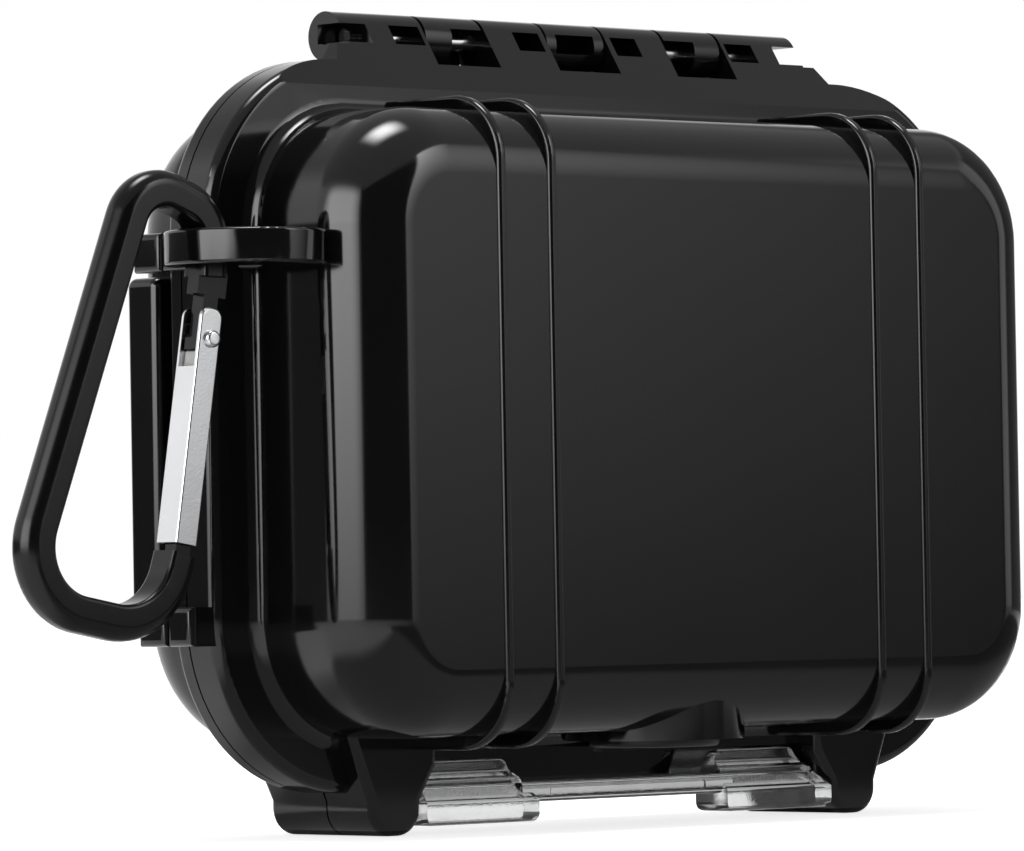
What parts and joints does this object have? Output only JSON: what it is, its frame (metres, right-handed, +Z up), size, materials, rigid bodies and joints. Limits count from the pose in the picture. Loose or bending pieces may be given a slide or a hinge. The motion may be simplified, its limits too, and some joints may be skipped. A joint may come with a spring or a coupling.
{
  "type": "small hard case",
  "caption": "Small watertight hard case with a hinged domed lid, rubber liner, clear latch, pressure vent and a hanging carabiner on its end eye.",
  "frame": {"origin": "middle of the case's length, on the parting plane, at the level of the feet that it stands on with the hinge up", "axes": "+X along the hinge away from the carabiner, +Y from the tub towards the lid, +Z up from the latch to the hinge"},
  "size_m": [0.2, 0.0525, 0.121],
  "materials": {
    "shell_black": "glossy",
    "liner_rubber": "matte",
    "seal_rubber": "satin",
    "foam": "open-cell foam",
    "latch_clear": "clear",
    "pin_steel": "bright",
    "vent_black": "satin",
    "membrane_white": "matte",
    "carabiner_black": "satin anodised",
    "gate_steel": "plated",
    "plunger_nylon": "satin",
    "spring_steel": "bright"
  },
  "bodies": {
    "base": {"base_shell": "shell_black", "base_liner": "liner_rubber", "seal_ring": "seal_rubber", "hinge_pin_left": "pin_steel", "hinge_pin_right": "pin_steel", "vent_body": "vent_black", "vent_o_ring": "seal_rubber", "vent_membrane": "membrane_white", "vent_cap": "vent_black", "vent_retainer": "vent_black"},
    "lid": {"lid_shell": "shell_black", "lid_foam": "foam", "latch_pin_left": "pin_steel", "latch_pin_right": "pin_steel"},
    "latch": {"latch": "latch_clear"},
    "carabiner": {"carabiner_frame": "carabiner_black", "gate_rivet": "pin_steel"},
    "gate": {"carabiner_gate": "gate_steel", "gate_spring": "spring_steel"},
    "plunger": {"gate_plunger": "plunger_nylon"}
  },
  "joints": [
    {"name": "lid_hinge", "type": "hinge", "parent": "base", "child": "lid", "pos_m": [0, 0.0036, 0.1173], "axis": [1, 0, 0], "range_deg": [0, 120]},
    {"name": "latch_hinge", "type": "hinge", "parent": "lid", "child": "latch", "pos_m": [0, 0.0065, 0.006], "axis": [1, 0, 0], "range_deg": [0, 130]},
    {"name": "carabiner_swing", "type": "hinge", "parent": "base", "child": "carabiner", "pos_m": [-0.088, -0.0115, 0.0847], "axis": [0, 1, 0], "range_deg": [-15, 100]},
    {"name": "gate_hinge", "type": "hinge", "parent": "carabiner", "child": "gate", "pos_m": [-0.08429, -0.0115, 0.07173], "axis": [0, 1, 0], "range_deg": [0, 24], "stiffness_Nm_per_rad": 0.05, "springref_deg": -11.46},
    {"name": "plunger_slide", "type": "slide", "parent": "gate", "child": "plunger", "axis": [-0.1642, 0, -0.9864], "range_m": [0, 0.0006]}
  ],
  "couplings": [
    {"joint": "plunger_slide", "follows": "gate_hinge", "m_per_rad": 0.0014}
  ]
}
